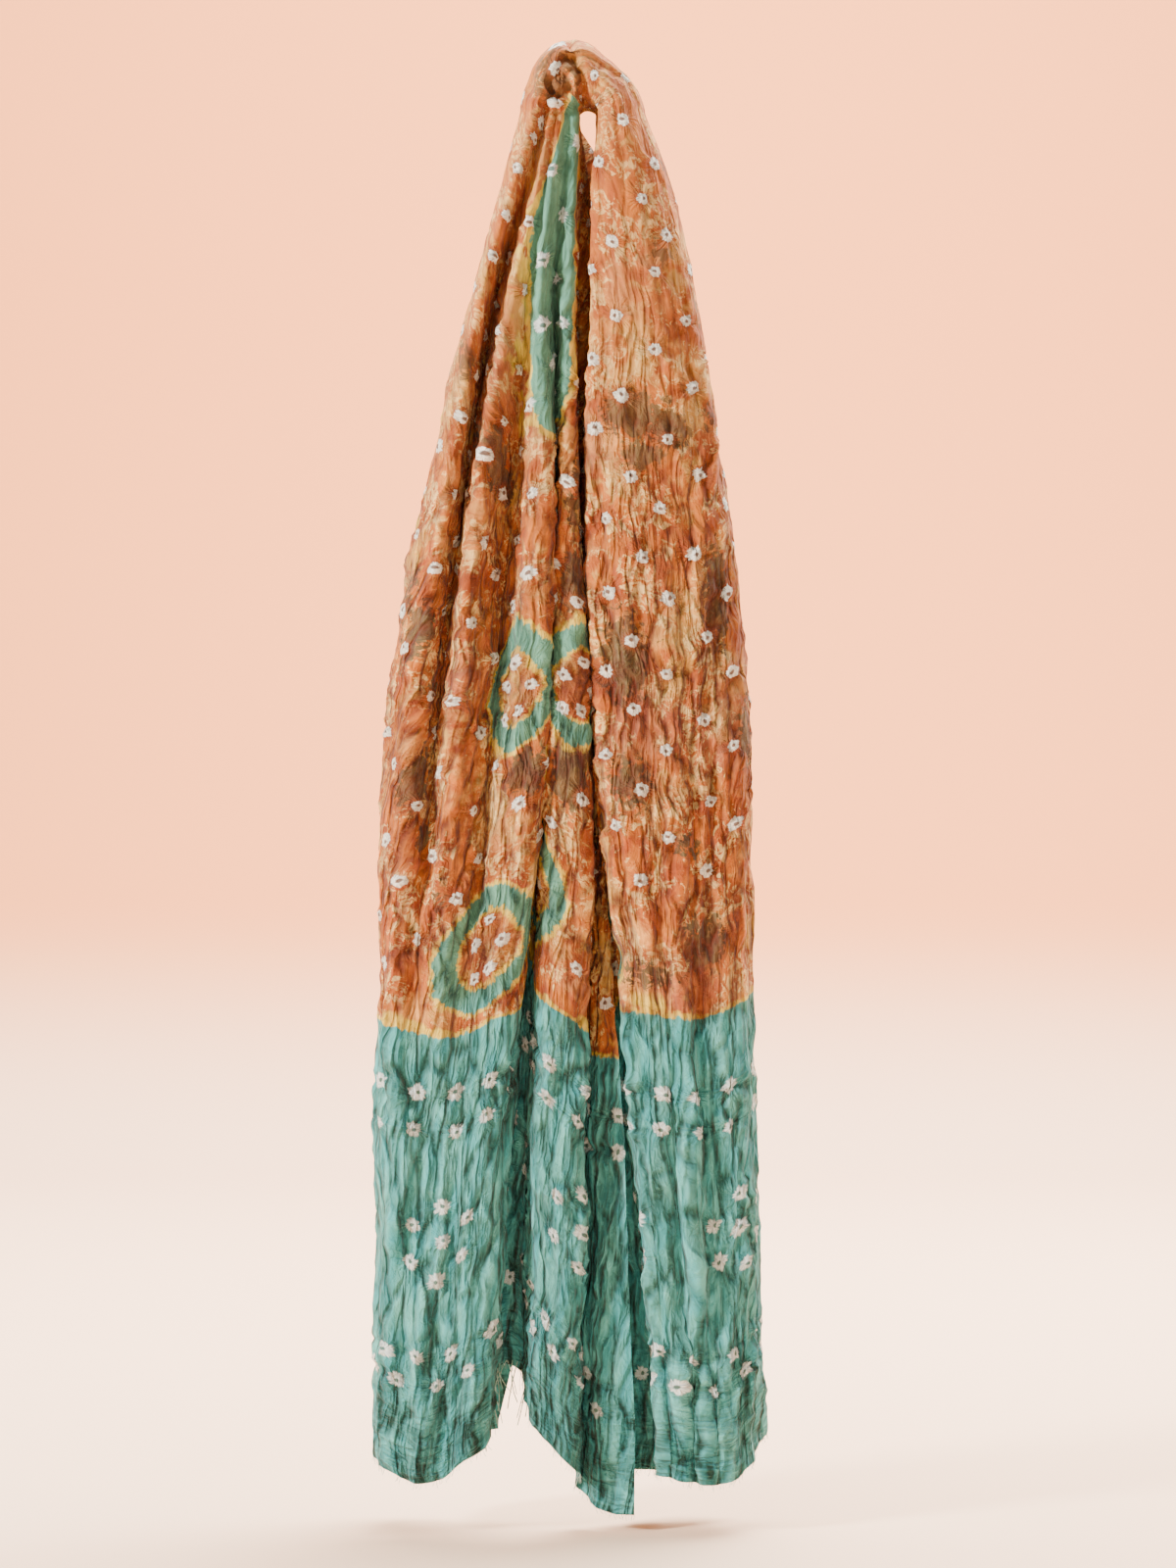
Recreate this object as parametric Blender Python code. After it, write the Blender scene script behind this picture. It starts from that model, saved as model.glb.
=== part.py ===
"""A crinkled tie-dyed cloth hung by its middle over a round peg, as one closed folded sheet.

Metres, +Z up. The peg runs along Y and the cloth falls in two halves, one to each side of it.
The origin is on the cloth's underside, where the peg bears. -Y is the front.
"""
import math
from collections import namedtuple

import bpy

# Driving dimensions
MM = 0.001
PEG_RADIUS = 6 * MM
THICKNESS = 1.5 * MM
SAMPLES_PER_FOLD = 3
LEG_ROWS = 12
LEG_CROWDING = 1.3
ARCH_STEPS = 10

# Heights at which the fold tables give places, in mm below the peg's axis
ACROSS_HEIGHTS = (0, -60, -150, -310, -510, -750, -1070)
DEPTH_HEIGHTS = (0, -150, -310, -750, -1070)

# One row for each fold line, from the front selvedge round the outer side to the back selvedge.
# across: x at each of ACROSS_HEIGHTS. depth: y at each of DEPTH_HEIGHTS. hem: height of the hem.
# All in mm. The two tables list the same fold lines, on the two sides of the peg.
Fold = namedtuple("Fold", "name across depth hem")
LEFT_FOLDS = (
    Fold("front selvedge", (-8, 1, 2, 0, 4, 25, 38), (8, 14, 6, -24, -32), -1136),
    Fold("inner sheet", (-8, -5, -4, -5, -2, 10, 14), (-6, 9, 14, -10, -24), -1134),
    Fold("gap", (-8, -8, -10, -13, -9, -10, -12), (-16, 0, 18, 4, -10), -1114),
    Fold("middle fold, right", (-9, -10, -12, -10, 0, -6, -12), (-25, -33, -37, -39, -39), -1100),
    Fold("middle fold, left", (-12, -15, -20, -21, -29, -36, -41), (-28, -36, -41, -41, -39), -1062),
    Fold("deep fold, right", (-14, -19, -24, -25, -33, -43, -50), (-29, -25, -12, -10, -14), -1026),
    Fold("deep fold, left", (-17, -22, -28, -29, -39, -61, -80), (-31, -26, -12, -12, -16), -1020),
    Fold("panel edge", (-20, -26, -33, -31, -37, -61, -87), (-33, -40, -47, -45, -42), -1076),
    Fold("inner ridge", (-23, -30, -40, -44, -55, -78, -101), (-35, -45, -50, -49, -47), -1090),
    Fold("recess", (-26, -34, -48, -60, -78, -98, -116), (-35, -35, -16, -45, -45), -1104),
    Fold("second ridge", (-29, -41, -62, -87, -105, -120, -134), (-37, -48, -50, -50, -46), -1108),
    Fold("outer valley", (-34, -49, -74, -99, -123, -141, -149), (-35, -10, -14, -46, -43), -1104),
    Fold("outer ridge", (-42, -59, -85, -113, -143, -156, -160), (-42, -50, -51, -46, -38), -1097),
    Fold("outer side", (-54, -70, -94, -132, -161, -166, -166), (-12, -12, -12, -12, -10), -1091),
    Fold("back ridge", (-48, -62, -83, -116, -143, -145, -146), (20, 38, 50, 46, 38), -1086),
    Fold("back valley", (-39, -50, -66, -92, -115, -121, -128), (20, 12, 10, 6, 2), -1084),
    Fold("second back ridge", (-30, -36, -51, -72, -94, -104, -114), (34, 46, 54, 50, 40), -1084),
    Fold("second back valley", (-17, -14, -30, -46, -60, -78, -96), (30, 34, 30, 26, 20), -1080),
    Fold("back selvedge", (-9, 24, 24, 18, 24, 0, -73), (38, 58, 58, 50, 30), -1077),
)
RIGHT_FOLDS = (
    Fold("front selvedge", (8, 12, 26, 40, 46, 56, 62), (8, 14, 18, 20, 14), -1110),
    Fold("inner sheet", (8, 9, 14, 20, 28, 38, 42), (-6, 4, 14, 18, 12), -1108),
    Fold("gap", (8, 7, 7, 7, 9, 16, 20), (-15, -8, -2, 0, -6), -1103),
    Fold("tucked sheet", (9, 6, 6, 5, 12, 33, 59), (-22, -20, -18, -14, -14), -1100),
    Fold("panel edge", (11, 4, 3, 1, 10, 33, 61), (-30, -36, -38, -41, -42), -1102),
    Fold("first dip", (15, 13, 14, 14, 20, 42, 68), (-36, -43, -46, -46, -45), -1103),
    Fold("first ridge", (19, 22, 28, 30, 34, 52, 77), (-41, -47, -50, -48, -49), -1106),
    Fold("second dip", (23, 30, 40, 46, 52, 64, 86), (-40, -45, -47, -45, -42), -1108),
    Fold("second ridge", (27, 38, 52, 62, 68, 76, 95), (-41, -44, -46, -49, -46), -1109),
    Fold("third dip", (31, 45, 63, 76, 84, 88, 104), (-37, -40, -43, -42, -42), -1109),
    Fold("third ridge", (35, 52, 72, 88, 98, 98, 113), (-33, -36, -38, -41, -43), -1107),
    Fold("outer valley", (39, 58, 79, 98, 111, 110, 122), (-27, -30, -34, -37, -38), -1100),
    Fold("outer ridge", (43, 63, 84, 106, 123, 123, 131), (-18, -22, -27, -31, -31), -1088),
    Fold("outer side", (46, 68, 87, 109, 128, 129, 137), (-3, -1, 0, -2, -4), -1076),
    Fold("back ridge", (42, 58, 79, 99, 114, 117, 125), (20, 36, 48, 44, 38), -1080),
    Fold("back valley", (35, 48, 66, 84, 97, 101, 111), (18, 6, 0, -4, -4), -1086),
    Fold("second back ridge", (28, 38, 52, 66, 79, 85, 95), (32, 44, 52, 48, 40), -1090),
    Fold("second back valley", (17, 26, 38, 52, 66, 74, 86), (26, 28, 30, 30, 26), -1092),
    Fold("back selvedge", (9, 14, 20, 28, 46, 60, 72), (32, 38, 44, 42, 36), -1094),
)

# The bundle bulges over the peg: its outer turn as a share of the plain round one, by angle
CROWN_ANGLES = (0, 26, 50, 74, 92, 104, 127, 159, 180)
CROWN_SHARES = (1.00, 1.00, 1.16, 1.24, 1.14, 1.00, 0.92, 0.96, 1.00)

CLOTH_COLOUR = (0.58, 0.20, 0.07, 1.0)
CLOTH_ROUGHNESS = 0.85


def clear_scene():
    """Remove the objects that a new file starts with."""
    for thing in list(bpy.data.objects):
        bpy.data.objects.remove(thing, do_unlink=True)


def smooth_value(places, values, at):
    """Value at a place on a smooth curve through (place, value) pairs with rising places."""
    if at <= places[0]:
        return values[0]
    if at >= places[-1]:
        return values[-1]
    step = next(i for i in range(len(places) - 1) if at <= places[i + 1])
    width = places[step + 1] - places[step]

    def slope(i):
        before, after = max(i - 1, 0), min(i + 1, len(places) - 1)
        return (values[after] - values[before]) / (places[after] - places[before])

    f = (at - places[step]) / width
    return (
        (2 * f**3 - 3 * f**2 + 1) * values[step]
        + (f**3 - 2 * f**2 + f) * width * slope(step)
        + (3 * f**2 - 2 * f**3) * values[step + 1]
        + (f**3 - f**2) * width * slope(step + 1)
    )


def by_height(heights, values, height):
    """Value at a height from a table whose heights run downwards."""
    return smooth_value([-h for h in heights], values, -height)


def fold_place(folds, place, height):
    """Sideways and depth place, in mm, at a fold number that may lie between two folds."""
    numbers = range(len(folds))
    across = [by_height(ACROSS_HEIGHTS, fold.across, height) for fold in folds]
    depth = [by_height(DEPTH_HEIGHTS, fold.depth, height) for fold in folds]
    return smooth_value(numbers, across, place), smooth_value(numbers, depth, place)


def leg_point(folds, place, share):
    """Point on a hanging half, from the peg's level (share 0) down to the hem (share 1)."""
    hem = smooth_value(range(len(folds)), [fold.hem for fold in folds], place)
    height = hem * share
    x, y = fold_place(folds, place, height)
    return x * MM, y * MM, height * MM - PEG_RADIUS


def arch_point(place, turn):
    """Point on the turn over the peg, from the left half (turn 0) to the right half (turn 1)."""
    left_x, left_y = fold_place(LEFT_FOLDS, place, 0)
    right_x, right_y = fold_place(RIGHT_FOLDS, place, 0)
    ease = turn * turn * (3 - 2 * turn)
    plain = -left_x + (right_x + left_x) * ease
    y = left_y + (right_y - left_y) * ease
    bearing = PEG_RADIUS / MM + THICKNESS / MM / 2
    crown = smooth_value(CROWN_ANGLES, CROWN_SHARES, 180 * turn)
    radius = bearing + (plain - bearing) * crown
    angle = math.pi * turn
    return -radius * math.cos(angle) * MM, y * MM, radius * math.sin(angle) * MM - PEG_RADIUS


def cloth_line(place):
    """The points along the cloth at one fold place, from the left hem to the right hem."""
    shares = [(row / LEG_ROWS) ** LEG_CROWDING for row in range(LEG_ROWS, 0, -1)]
    line = [leg_point(LEFT_FOLDS, place, share) for share in shares]
    line += [arch_point(place, step / ARCH_STEPS) for step in range(ARCH_STEPS + 1)]
    line += [leg_point(RIGHT_FOLDS, place, share) for share in reversed(shares)]
    return line


def build_cloth():
    """The folded sheet, thickened to a closed solid with its rims along hems and selvedges."""
    columns = (len(LEFT_FOLDS) - 1) * SAMPLES_PER_FOLD
    lines = [cloth_line(column / SAMPLES_PER_FOLD) for column in range(columns + 1)]
    rows = len(lines[0])
    points = [point for line in lines for point in line]
    faces = [
        (c * rows + r, c * rows + r + 1, (c + 1) * rows + r + 1, (c + 1) * rows + r)
        for c in range(columns)
        for r in range(rows - 1)
    ]
    mesh = bpy.data.meshes.new("bandhani_cloth")
    mesh.from_pydata(points, [], faces)
    mesh.update()
    cloth = bpy.data.objects.new("bandhani_cloth", mesh)
    bpy.context.collection.objects.link(cloth)
    sheet = cloth.modifiers.new("sheet thickness", "SOLIDIFY")
    sheet.thickness = THICKNESS
    sheet.offset = 0.0
    sheet.use_rim = True
    return cloth


def dyed_cotton():
    """The cloth's plain material."""
    material = bpy.data.materials.new("dyed_cotton")
    material.use_nodes = True
    shader = material.node_tree.nodes["Principled BSDF"]
    shader.inputs["Base Color"].default_value = CLOTH_COLOUR
    shader.inputs["Roughness"].default_value = CLOTH_ROUGHNESS
    shader.inputs["Metallic"].default_value = 0.0
    return material


clear_scene()
bandhani_cloth = build_cloth()
bandhani_cloth.data.materials.append(dyed_cotton())
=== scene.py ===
import math
from collections import namedtuple

import bpy
import numpy as np
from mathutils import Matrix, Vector, kdtree, noise


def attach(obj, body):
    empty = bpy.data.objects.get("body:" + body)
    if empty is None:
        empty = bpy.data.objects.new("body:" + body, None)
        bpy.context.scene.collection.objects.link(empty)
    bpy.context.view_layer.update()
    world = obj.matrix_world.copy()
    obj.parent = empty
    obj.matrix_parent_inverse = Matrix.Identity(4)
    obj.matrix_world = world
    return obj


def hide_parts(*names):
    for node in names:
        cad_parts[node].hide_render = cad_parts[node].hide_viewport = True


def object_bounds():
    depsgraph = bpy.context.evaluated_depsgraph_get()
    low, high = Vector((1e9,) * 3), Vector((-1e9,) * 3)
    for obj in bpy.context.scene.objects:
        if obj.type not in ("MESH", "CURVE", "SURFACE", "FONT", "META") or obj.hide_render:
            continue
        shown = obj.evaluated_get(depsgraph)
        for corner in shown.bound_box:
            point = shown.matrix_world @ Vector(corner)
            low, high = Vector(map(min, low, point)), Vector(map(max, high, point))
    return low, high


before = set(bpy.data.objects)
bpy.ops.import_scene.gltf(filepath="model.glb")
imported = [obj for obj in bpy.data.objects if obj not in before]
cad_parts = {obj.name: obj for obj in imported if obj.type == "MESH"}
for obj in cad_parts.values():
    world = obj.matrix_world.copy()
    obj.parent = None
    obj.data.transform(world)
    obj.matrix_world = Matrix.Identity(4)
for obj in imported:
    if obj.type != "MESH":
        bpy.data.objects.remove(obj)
cad_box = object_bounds()
MM = 0.001


# The hanging cloth's folds. One crinkled cotton length lies over a round peg at its middle, and
# each half falls as a front sheet, round an outer side, to a back sheet. The tables give each
# fold line's places on the two sides of the peg, and the cloth is bent smoothly through them.
PEG_RADIUS = 6 * MM
CLOTH_THICKNESS = 1.5 * MM
ACROSS_HEIGHTS = (0, -60, -150, -310, -510, -750, -1070)
DEPTH_HEIGHTS = (0, -150, -310, -750, -1070)
Fold = namedtuple("Fold", "name across depth hem")
LEFT_FOLDS = (
    Fold("front selvedge", (-8, 1, 2, 0, 4, 25, 38), (8, 14, 6, -24, -32), -1136),
    Fold("inner sheet", (-8, -5, -4, -5, -2, 10, 14), (-6, 9, 14, -10, -24), -1134),
    Fold("gap", (-8, -8, -10, -13, -9, -10, -12), (-16, 0, 18, 4, -10), -1114),
    Fold("middle fold, right", (-9, -10, -12, -10, 0, -6, -12), (-25, -33, -37, -39, -39), -1100),
    Fold("middle fold, left", (-12, -15, -20, -21, -29, -36, -41), (-28, -36, -41, -41, -39), -1062),
    Fold("deep fold, right", (-14, -19, -24, -25, -33, -43, -50), (-29, -25, -12, -10, -14), -1026),
    Fold("deep fold, left", (-17, -22, -28, -29, -39, -61, -80), (-31, -26, -12, -12, -16), -1020),
    Fold("panel edge", (-20, -26, -33, -31, -37, -61, -87), (-33, -40, -47, -45, -42), -1076),
    Fold("inner ridge", (-23, -30, -40, -44, -55, -78, -101), (-35, -45, -50, -49, -47), -1090),
    Fold("recess", (-26, -34, -48, -60, -78, -98, -116), (-35, -35, -16, -45, -45), -1104),
    Fold("second ridge", (-29, -41, -62, -87, -105, -120, -134), (-37, -48, -50, -50, -46), -1108),
    Fold("outer valley", (-34, -49, -74, -99, -123, -141, -149), (-35, -10, -14, -46, -43), -1104),
    Fold("outer ridge", (-42, -59, -85, -113, -143, -156, -160), (-42, -50, -51, -46, -38), -1097),
    Fold("outer side", (-54, -70, -94, -132, -161, -166, -166), (-12, -12, -12, -12, -10), -1091),
    Fold("back ridge", (-48, -62, -83, -116, -143, -145, -146), (20, 38, 50, 46, 38), -1086),
    Fold("back valley", (-39, -50, -66, -92, -115, -121, -128), (20, 12, 10, 6, 2), -1084),
    Fold("second back ridge", (-30, -36, -51, -72, -94, -104, -114), (34, 46, 54, 50, 40), -1084),
    Fold("second back valley", (-17, -14, -30, -46, -60, -78, -96), (30, 34, 30, 26, 20), -1080),
    Fold("back selvedge", (-9, 24, 24, 18, 24, 0, -73), (38, 58, 58, 50, 30), -1077),
)
RIGHT_FOLDS = (
    Fold("front selvedge", (8, 12, 26, 40, 46, 56, 62), (8, 14, 18, 20, 14), -1110),
    Fold("inner sheet", (8, 9, 14, 20, 28, 38, 42), (-6, 4, 14, 18, 12), -1108),
    Fold("gap", (8, 7, 7, 7, 9, 16, 20), (-15, -8, -2, 0, -6), -1103),
    Fold("tucked sheet", (9, 6, 6, 5, 12, 33, 59), (-22, -20, -18, -14, -14), -1100),
    Fold("panel edge", (11, 4, 3, 1, 10, 33, 61), (-30, -36, -38, -41, -42), -1102),
    Fold("first dip", (15, 13, 14, 14, 20, 42, 68), (-36, -43, -46, -46, -45), -1103),
    Fold("first ridge", (19, 22, 28, 30, 34, 52, 77), (-41, -47, -50, -48, -49), -1106),
    Fold("second dip", (23, 30, 40, 46, 52, 64, 86), (-40, -45, -47, -45, -42), -1108),
    Fold("second ridge", (27, 38, 52, 62, 68, 76, 95), (-41, -44, -46, -49, -46), -1109),
    Fold("third dip", (31, 45, 63, 76, 84, 88, 104), (-37, -40, -43, -42, -42), -1109),
    Fold("third ridge", (35, 52, 72, 88, 98, 98, 113), (-33, -36, -38, -41, -43), -1107),
    Fold("outer valley", (39, 58, 79, 98, 111, 110, 122), (-27, -30, -34, -37, -38), -1100),
    Fold("outer ridge", (43, 63, 84, 106, 123, 123, 131), (-18, -22, -27, -31, -31), -1088),
    Fold("outer side", (46, 68, 87, 109, 128, 129, 137), (-3, -1, 0, -2, -4), -1076),
    Fold("back ridge", (42, 58, 79, 99, 114, 117, 125), (20, 36, 48, 44, 38), -1080),
    Fold("back valley", (35, 48, 66, 84, 97, 101, 111), (18, 6, 0, -4, -4), -1086),
    Fold("second back ridge", (28, 38, 52, 66, 79, 85, 95), (32, 44, 52, 48, 40), -1090),
    Fold("second back valley", (17, 26, 38, 52, 66, 74, 86), (26, 28, 30, 30, 26), -1092),
    Fold("back selvedge", (9, 14, 20, 28, 46, 60, 72), (32, 38, 44, 42, 36), -1094),
)
CROWN_ANGLES = (0, 26, 50, 74, 92, 104, 127, 159, 180)
CROWN_SHARES = (1.00, 1.00, 1.16, 1.24, 1.14, 1.00, 0.92, 0.96, 1.00)

# How finely each stretch between two fold lines is divided, closely on the sides that show
COLUMNS_BY_FOLD = (5, 6, 11, 12, 9, 6, 9, 9, 10, 11, 10, 9, 12, 14, 9, 9, 7, 9)
LEG_ROWS = 272
ARCH_ROWS = 36
LEG_LENGTH = 1.10
ARCH_LENGTH = 0.13
CLOTH_LENGTH = 2 * LEG_LENGTH + ARCH_LENGTH
MIDDLE = CLOTH_LENGTH / 2


def smooth_curve(places, values, at):
    """Values at places on a smooth curve through a table's rows; a wide table has a column a point."""
    places, values = np.asarray(places, float), np.asarray(values, float)
    at = np.clip(np.asarray(at, float), places[0], places[-1])
    step = np.clip(np.searchsorted(places, at, side="left") - 1, 0, len(places) - 2)
    before = np.maximum(np.arange(len(places)) - 1, 0)
    after = np.minimum(np.arange(len(places)) + 1, len(places) - 1)
    run = places[after] - places[before]
    slopes = (values[after] - values[before]) / run.reshape(-1, *[1] * (values.ndim - 1))
    width = places[step + 1] - places[step]
    f = (at - places[step]) / width
    own = (np.arange(at.size),) if values.ndim == 2 else ()
    return (
        (2 * f**3 - 3 * f**2 + 1) * values[(step, *own)]
        + (f**3 - 2 * f**2 + f) * width * slopes[(step, *own)]
        + (3 * f**2 - 2 * f**3) * values[(step + 1, *own)]
        + (f**3 - f**2) * width * slopes[(step + 1, *own)]
    )


def fold_places(folds, place, height):
    """Sideways and depth places, in mm, at fold numbers that may lie between two folds."""
    down = [-h for h in ACROSS_HEIGHTS]
    deep = [-h for h in DEPTH_HEIGHTS]
    across = np.array([smooth_curve(down, fold.across, -height) for fold in folds])
    depth = np.array([smooth_curve(deep, fold.depth, -height) for fold in folds])
    numbers = np.arange(len(folds))
    return smooth_curve(numbers, across, place), smooth_curve(numbers, depth, place)


def leg_points(folds, place, share):
    """Points on a hanging half, from the peg's level (share 0) down to the hem (share 1)."""
    hem = smooth_curve(range(len(folds)), [fold.hem for fold in folds], place)
    height = hem * share
    x, y = fold_places(folds, place, height)
    return np.stack([x * MM, y * MM, height * MM - PEG_RADIUS], axis=-1)


def arch_points(place, turn):
    """Points on the turn over the peg, from the left half (turn 0) to the right half (turn 1)."""
    left_x, left_y = fold_places(LEFT_FOLDS, place, np.zeros_like(place))
    right_x, right_y = fold_places(RIGHT_FOLDS, place, np.zeros_like(place))
    ease = turn * turn * (3 - 2 * turn)
    plain = -left_x + (right_x + left_x) * ease
    y = left_y + (right_y - left_y) * ease
    bearing = (PEG_RADIUS + CLOTH_THICKNESS / 2) / MM
    radius = bearing + (plain - bearing) * smooth_curve(CROWN_ANGLES, CROWN_SHARES, 180 * turn)
    angle = math.pi * turn
    return np.stack(
        [
            -radius * np.cos(angle) * MM,
            y * MM,
            radius * np.sin(angle) * MM - PEG_RADIUS,
        ],
        axis=-1,
    )


def surface_points(place, along):
    """Points of the bent cloth at fold numbers and at lengths along it from the left hem."""
    place, along = np.broadcast_arrays(np.asarray(place, float), np.asarray(along, float))
    place, along = place.ravel(), along.ravel()
    points = np.empty((len(place), 3))
    left = along < LEG_LENGTH
    right = along > LEG_LENGTH + ARCH_LENGTH
    over = ~left & ~right
    points[left] = leg_points(LEFT_FOLDS, place[left], 1 - along[left] / LEG_LENGTH)
    fallen = along[right] - LEG_LENGTH - ARCH_LENGTH
    points[right] = leg_points(RIGHT_FOLDS, place[right], fallen / LEG_LENGTH)
    points[over] = arch_points(place[over], (along[over] - LEG_LENGTH) / ARCH_LENGTH)
    return points


place_line = np.concatenate(
    [fold + np.arange(count) / count for fold, count in enumerate(COLUMNS_BY_FOLD)]
    + [[len(COLUMNS_BY_FOLD)]]
)
along_line = np.concatenate(
    [
        np.arange(LEG_ROWS) / LEG_ROWS * LEG_LENGTH,
        LEG_LENGTH + np.arange(ARCH_ROWS) / ARCH_ROWS * ARCH_LENGTH,
        LEG_LENGTH + ARCH_LENGTH + np.arange(LEG_ROWS + 1) / LEG_ROWS * LEG_LENGTH,
    ]
)
place_grid, along_grid = np.meshgrid(place_line, along_line, indexing="ij")
grid_shape = place_grid.shape
plain_points = surface_points(place_grid, along_grid).reshape(*grid_shape, 3)

# Cloth across: the length over the folds from the inner ridge, so that dye keeps its true size
REFERENCE_FOLD = 8
steps = np.linalg.norm(np.diff(plain_points, axis=0), axis=2)
across_grid = np.concatenate([np.zeros((1, grid_shape[1])), np.cumsum(steps, axis=0)])
across_grid -= across_grid[np.argmin(abs(place_line - REFERENCE_FOLD))]
hem_distance = np.minimum(along_grid, CLOTH_LENGTH - along_grid)
drop_grid = np.maximum(-plain_points[:, :, 2] - PEG_RADIUS, 0)


def grid_value(table, place, along):
    """A grid's value at one fold number and one length along the cloth."""
    column = np.argmin(abs(place_line - place))
    return float(np.interp(along, along_line, table[column]))


def along_at(side, drop):
    """Length along the cloth of a place that hangs drop mm below the peg, on one side of it."""
    fallen = drop * MM
    return LEG_LENGTH - fallen if side == "left" else LEG_LENGTH + ARCH_LENGTH + fallen


def front_place(x, drop):
    """Where on the cloth (across, along) its frontmost layer lies, at x and drop mm below the peg."""
    gap = np.hypot(plain_points[:, :, 0] - x * MM, plain_points[:, :, 2] + PEG_RADIUS + drop * MM)
    depth = np.where(gap < max(6 * MM, gap.min() + MM), plain_points[:, :, 1], 1.0)
    close = np.where(depth < depth.min() + 8 * MM, gap, 1.0)
    found = np.argmin(close)
    return float(across_grid.flat[found]), float(along_grid.flat[found])


def side_place(side, place, drop):
    """Where on the cloth (across, along) a fold number lies, drop mm below the peg."""
    along = along_at(side, drop)
    return grid_value(across_grid, place, along), along


# The dyed design. Tied spots stand in staggered rows over the orange field, in double rows and
# seven-spot flowers in the green ends, and in fives inside the ringed medallions.
# x and drop: mm right of and below the peg, on the layer in front. wide and tall: a ring's outer
# size in mm. tip: the way its leaf shape points, in degrees from the cloth's own across.
Medallion = namedtuple("Medallion", "x drop wide tall tip")
FRONT_MEDALLIONS = (
    Medallion(-56, 469, 74, 100, 80),
    Medallion(-9, 467, 78, 98, 95),
    Medallion(-78, 678, 90, 100, -38),
)
HiddenMedallion = namedtuple("HiddenMedallion", "side fold drop")
HIDDEN_MEDALLIONS = (
    HiddenMedallion("left", 4.55, 656),
    HiddenMedallion("left", 14.4, 466),
    HiddenMedallion("left", 16.6, 466),
    HiddenMedallion("left", 15.5, 690),
    HiddenMedallion("left", 17.4, 690),
    HiddenMedallion("right", 15.0, 466),
    HiddenMedallion("right", 16.9, 690),
    HiddenMedallion("right", 2.2, 690),
)
HIDDEN_RING_WIDE = 86 * MM
HIDDEN_RING_TALL = 106 * MM
HIDDEN_RING_TIP = -1.4
RING_WIDTH = 17 * MM
# How far a leaf's tip stands out, as a share of its size, and how wide the tip is in radians
LEAF_POINT = 0.20
LEAF_SPREAD = 0.5
# A power of 2 would make a ring's outline an oval, and 1 a diamond
RING_POWER = 1.6
BORDER_HEIGHTS = {"left": 0.357, "right": 0.373}

# Green of the large central ring, in the valley by the peg: fold numbers between which it shows
GreenStrip = namedtuple("GreenStrip", "drop outer inner")
VALLEY_GREEN = (
    GreenStrip(-30, 6.0, 2.3),
    GreenStrip(0, 6.4, 2.3),
    GreenStrip(36, 7.9, 2.5),
    GreenStrip(60, 9.2, 2.8),
    GreenStrip(92, 9.6, 3.0),
    GreenStrip(152, 8.8, 3.0),
    GreenStrip(232, 8.2, 3.5),
    GreenStrip(258, 7.8, 4.0),
    GreenStrip(278, 6.4, 5.6),
)
# The same ring's green crosses the back as a band, from this fold number on
BACK_GREEN_DROP = 302
BACK_GREEN_HALF = 46
BACK_GREEN_FROM = 13.6
FOLD_PITCH = 0.016

# Olive patches in the orange. wide and tall are half sizes in mm.
Patch = namedtuple("Patch", "x drop wide tall strength")
FRONT_OLIVE = (
    Patch(-28, -26, 26, 24, 1.0),
    Patch(-76, 285, 14, 28, 1.0),
    Patch(-68, 305, 15, 18, 0.9),
    Patch(-90, 262, 12, 20, 0.7),
    Patch(-98, 205, 12, 24, 0.7),
    Patch(-50, 534, 16, 18, 1.0),
    Patch(-15, 540, 15, 26, 1.0),
    Patch(-8, 522, 14, 18, 1.0),
    Patch(-138, 540, 12, 26, 1.0),
    Patch(-134, 586, 12, 12, 0.9),
    Patch(-137, 428, 13, 26, 0.9),
    Patch(-128, 470, 10, 16, 0.7),
    Patch(-13, 384, 12, 26, 1.0),
    Patch(-8, 300, 10, 40, 0.8),
    Patch(-30, 214, 10, 12, 0.8),
    Patch(-146, 400, 12, 30, 0.8),
    Patch(-6, 82, 9, 40, 0.8),
    Patch(36, 250, 24, 20, 1.0),
    Patch(66, 262, 18, 16, 0.9),
    Patch(44, 282, 18, 12, 0.9),
    Patch(103, 396, 12, 40, 1.0),
    Patch(98, 245, 10, 18, 0.7),
    Patch(28, 448, 18, 34, 1.0),
    Patch(36, 545, 17, 22, 0.9),
    Patch(92, 676, 18, 22, 1.0),
    Patch(124, 505, 10, 26, 0.9),
    Patch(64, 44, 14, 22, 0.6),
    Patch(90, 160, 10, 34, 0.6),
    Patch(60, 120, 16, 14, 0.6),
    Patch(78, 596, 16, 14, 0.6),
    Patch(50, 700, 26, 14, 0.7),
    Patch(-118, 640, 12, 20, 0.4),
)
BackPatch = namedtuple("BackPatch", "side fold drop wide tall")
BACK_OLIVE = (
    BackPatch("left", 15.2, 380, 30, 26),
    BackPatch("left", 16.5, 600, 26, 30),
    BackPatch("left", 17.3, 200, 24, 26),
    BackPatch("right", 15.4, 420, 28, 34),
    BackPatch("right", 16.0, 620, 26, 22),
    BackPatch("right", 17.2, 180, 22, 24),
)
BACK_OLIVE_STRENGTH = 0.95

# Spots, in mm: the field's lattice, the ends' double rows, and the flowers of seven
FIELD_PITCH_ACROSS = 52
FIELD_PITCH_ALONG = 32
FIELD_STARTS = {"left": 0.405, "right": 0.455}
ROW_HEIGHTS = (309, 280, 99, 77)
ROW_PITCH = 30
FLOWER_HEIGHT = 193
FLOWER_PITCH = 112
FLOWER_SPOTS = ((0, 28), (-24, 12), (23, 13), (0, 0), (-22, -20), (22, -19), (1, -32))
FIVE_SPOTS = ((0, 22), (-13, 2), (12, 5), (-4, -18), (10, -22))
# Spots with a place of their own near the peg: x, and mm below the peg
CROWN_SPOTS = ((-24, -57), (-26, -33), (-37, 12))
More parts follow.
